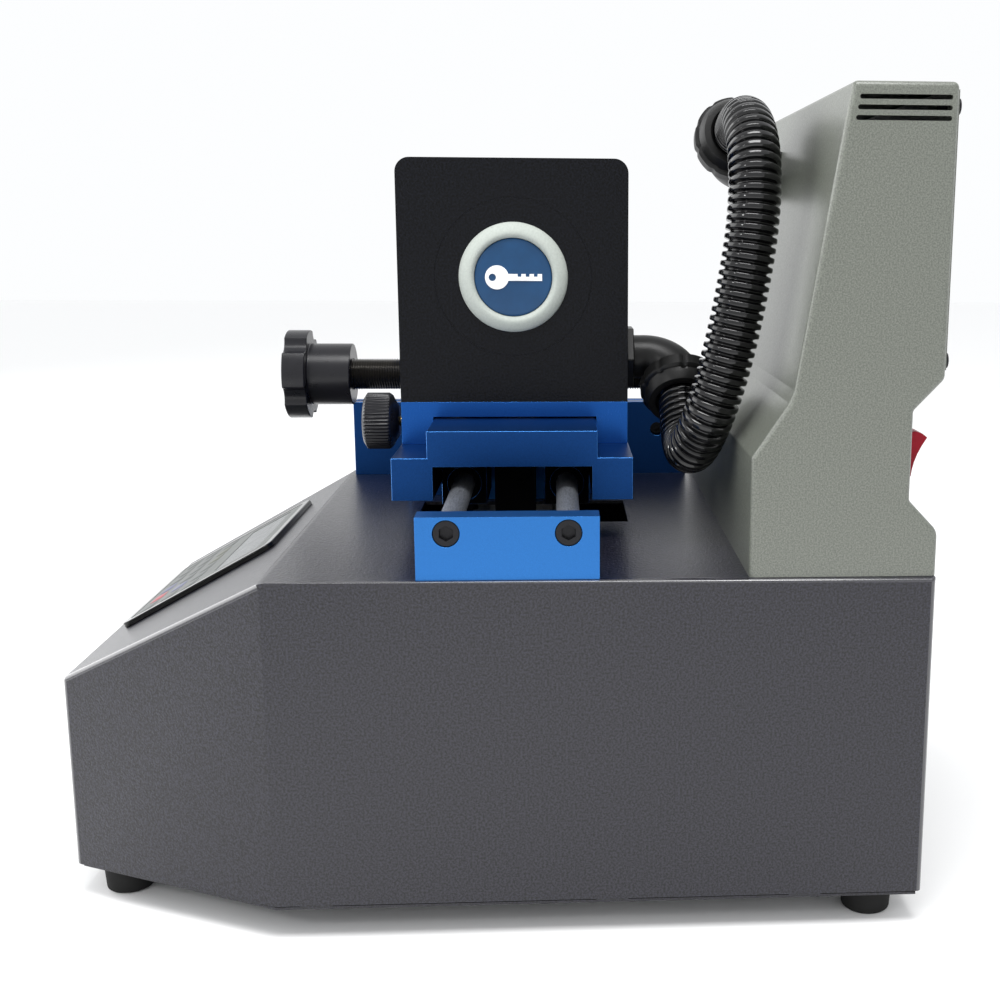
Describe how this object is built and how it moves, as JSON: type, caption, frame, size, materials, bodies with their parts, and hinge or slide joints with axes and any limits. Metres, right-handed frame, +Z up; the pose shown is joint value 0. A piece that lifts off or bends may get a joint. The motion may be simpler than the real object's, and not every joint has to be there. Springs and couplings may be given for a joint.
{
  "type": "key duplicating machine",
  "caption": "Bench-top key duplicating machine with a sloping control panel, a rear tower, a sliding motor head on guide rods, a key vise with star knob and a corrugated conduit.",
  "frame": {"origin": "on the table under the middle of the machine's footprint, between its four rubber feet", "axes": "+Z up, the sloping control panel and the operator at -Y, the tower at +Y, and +X to the operator's right, towards the near ends of the guide rods"},
  "size_m": [0.3, 0.444, 0.4227],
  "materials": {
    "charcoal_texture": "wrinkle texture powder coat",
    "zinc_steel": "zinc plated",
    "rubber_black": "matt",
    "black_oxide": "black oxide",
    "tower_grey": "fine texture powder coat",
    "black_plastic": "satin",
    "red_plastic": "gloss",
    "black_gloss": "gloss",
    "blue_anodised": "blue anodised",
    "ground_steel": "ground",
    "threaded_steel": "rolled thread",
    "plain_aluminium": "machined",
    "bronze": "machined",
    "board_green": "solder mask",
    "black_texture": "fine texture powder coat",
    "satin_chrome": "satin",
    "medallion_blue": "gloss",
    "emblem_white": "printed",
    "window_dark": "gloss window"
  },
  "bodies": {
    "chassis": {"base_cover": "charcoal_texture", "base_pan": "zinc_steel", "rubber_feet": "rubber_black", "foot_screws": "black_oxide", "pan_screws": "zinc_steel", "tower_shell": "tower_grey", "tower_rear_cover": "tower_grey", "rear_cover_screws": "black_oxide", "switch_bezel": "black_plastic", "power_inlet": "black_plastic", "upper_elbow": "black_gloss", "upper_elbow_nut": "black_gloss", "flexible_conduit": "black_gloss", "rail_end_block": "blue_anodised", "rail_far_block": "blue_anodised", "guide_rods": "ground_steel", "rod_end_screws": "black_oxide", "rail_block_bolts": "black_oxide", "drive_motor": "black_plastic", "motor_bracket": "zinc_steel", "screw_bearings": "plain_aluminium", "power_supply": "zinc_steel", "control_board": "board_green", "vise_body": "blue_anodised", "fixed_jaw": "ground_steel", "vise_bar": "blue_anodised", "bar_screws": "black_oxide", "control_bezel": "black_plastic", "control_overlay": "black_gloss", "display_window": "window_dark"},
    "carriage": {"saddle": "blue_anodised", "linear_bushings": "ground_steel", "nut_bracket": "plain_aluminium", "drive_nut": "bronze", "head_block": "blue_anodised", "housing_shell": "black_texture", "face_plate": "black_texture", "back_plate": "black_texture", "back_plate_screws": "black_oxide", "medallion_ring": "satin_chrome", "medallion_disc": "medallion_blue", "medallion_emblem": "emblem_white", "depth_rails": "ground_steel", "depth_motor": "black_plastic", "lower_elbow": "black_gloss", "lower_elbow_nut": "black_gloss"},
    "feed_screw": {"drive_screw": "ground_steel"},
    "spindle_slide": {"spindle_block": "plain_aluminium", "spindle_motor": "black_plastic", "depth_actuator": "ground_steel"},
    "cutter": {"spindle_shaft": "ground_steel", "cutter_wheel": "ground_steel", "cutter_nut": "black_oxide"},
    "jaw": {"jaw_carrier": "blue_anodised", "moving_jaw": "ground_steel"},
    "clamp": {"clamp_screw": "threaded_steel", "star_knob": "black_plastic"},
    "lock": {"lock_knob": "black_plastic", "lock_screw": "bronze"},
    "rocker": {"power_rocker": "red_plastic"}
  },
  "joints": [
    {"name": "carriage_slide", "type": "slide", "parent": "chassis", "child": "carriage", "axis": [1, 0, 0], "range_m": [-0.012, 0.05], "deforming": ["flexible_conduit"]},
    {"name": "feed_screw_spin", "type": "hinge", "parent": "chassis", "child": "feed_screw", "pos_m": [0, 0.0095, 0.15], "axis": [1, 0, 0], "range_deg": [-560, 2270]},
    {"name": "depth_slide", "type": "slide", "parent": "carriage", "child": "spindle_slide", "axis": [0, 0, 1], "range_m": [-0.006, 0.004]},
    {"name": "cutter_spin", "type": "hinge", "parent": "spindle_slide", "child": "cutter", "pos_m": [-0.05, 0.0095, 0.3233], "axis": [1, 0, 0], "continuous": true},
    {"name": "clamp_slide", "type": "slide", "parent": "chassis", "child": "jaw", "axis": [0, 1, 0], "range_m": [-0.01, 0.006]},
    {"name": "clamp_screw_turn", "type": "hinge", "parent": "jaw", "child": "clamp", "pos_m": [-0.087, 0, 0.258], "axis": [0, 1, 0], "range_deg": [-2269, 1362]},
    {"name": "lock_knob_turn", "type": "hinge", "parent": "carriage", "child": "lock", "pos_m": [0.004, -0.06, 0.2407], "axis": [0, 1, 0], "range_deg": [-180, 90]},
    {"name": "rocker_tilt", "type": "hinge", "parent": "chassis", "child": "rocker", "pos_m": [0.121, 0.202, 0.241], "axis": [1, 0, 0], "range_deg": [0, 12]}
  ],
  "couplings": [
    {"joint": "feed_screw_spin", "follows": "carriage_slide", "rad_per_m": 785.4},
    {"joint": "clamp_screw_turn", "follows": "clamp_slide", "rad_per_m": 3957.9}
  ]
}
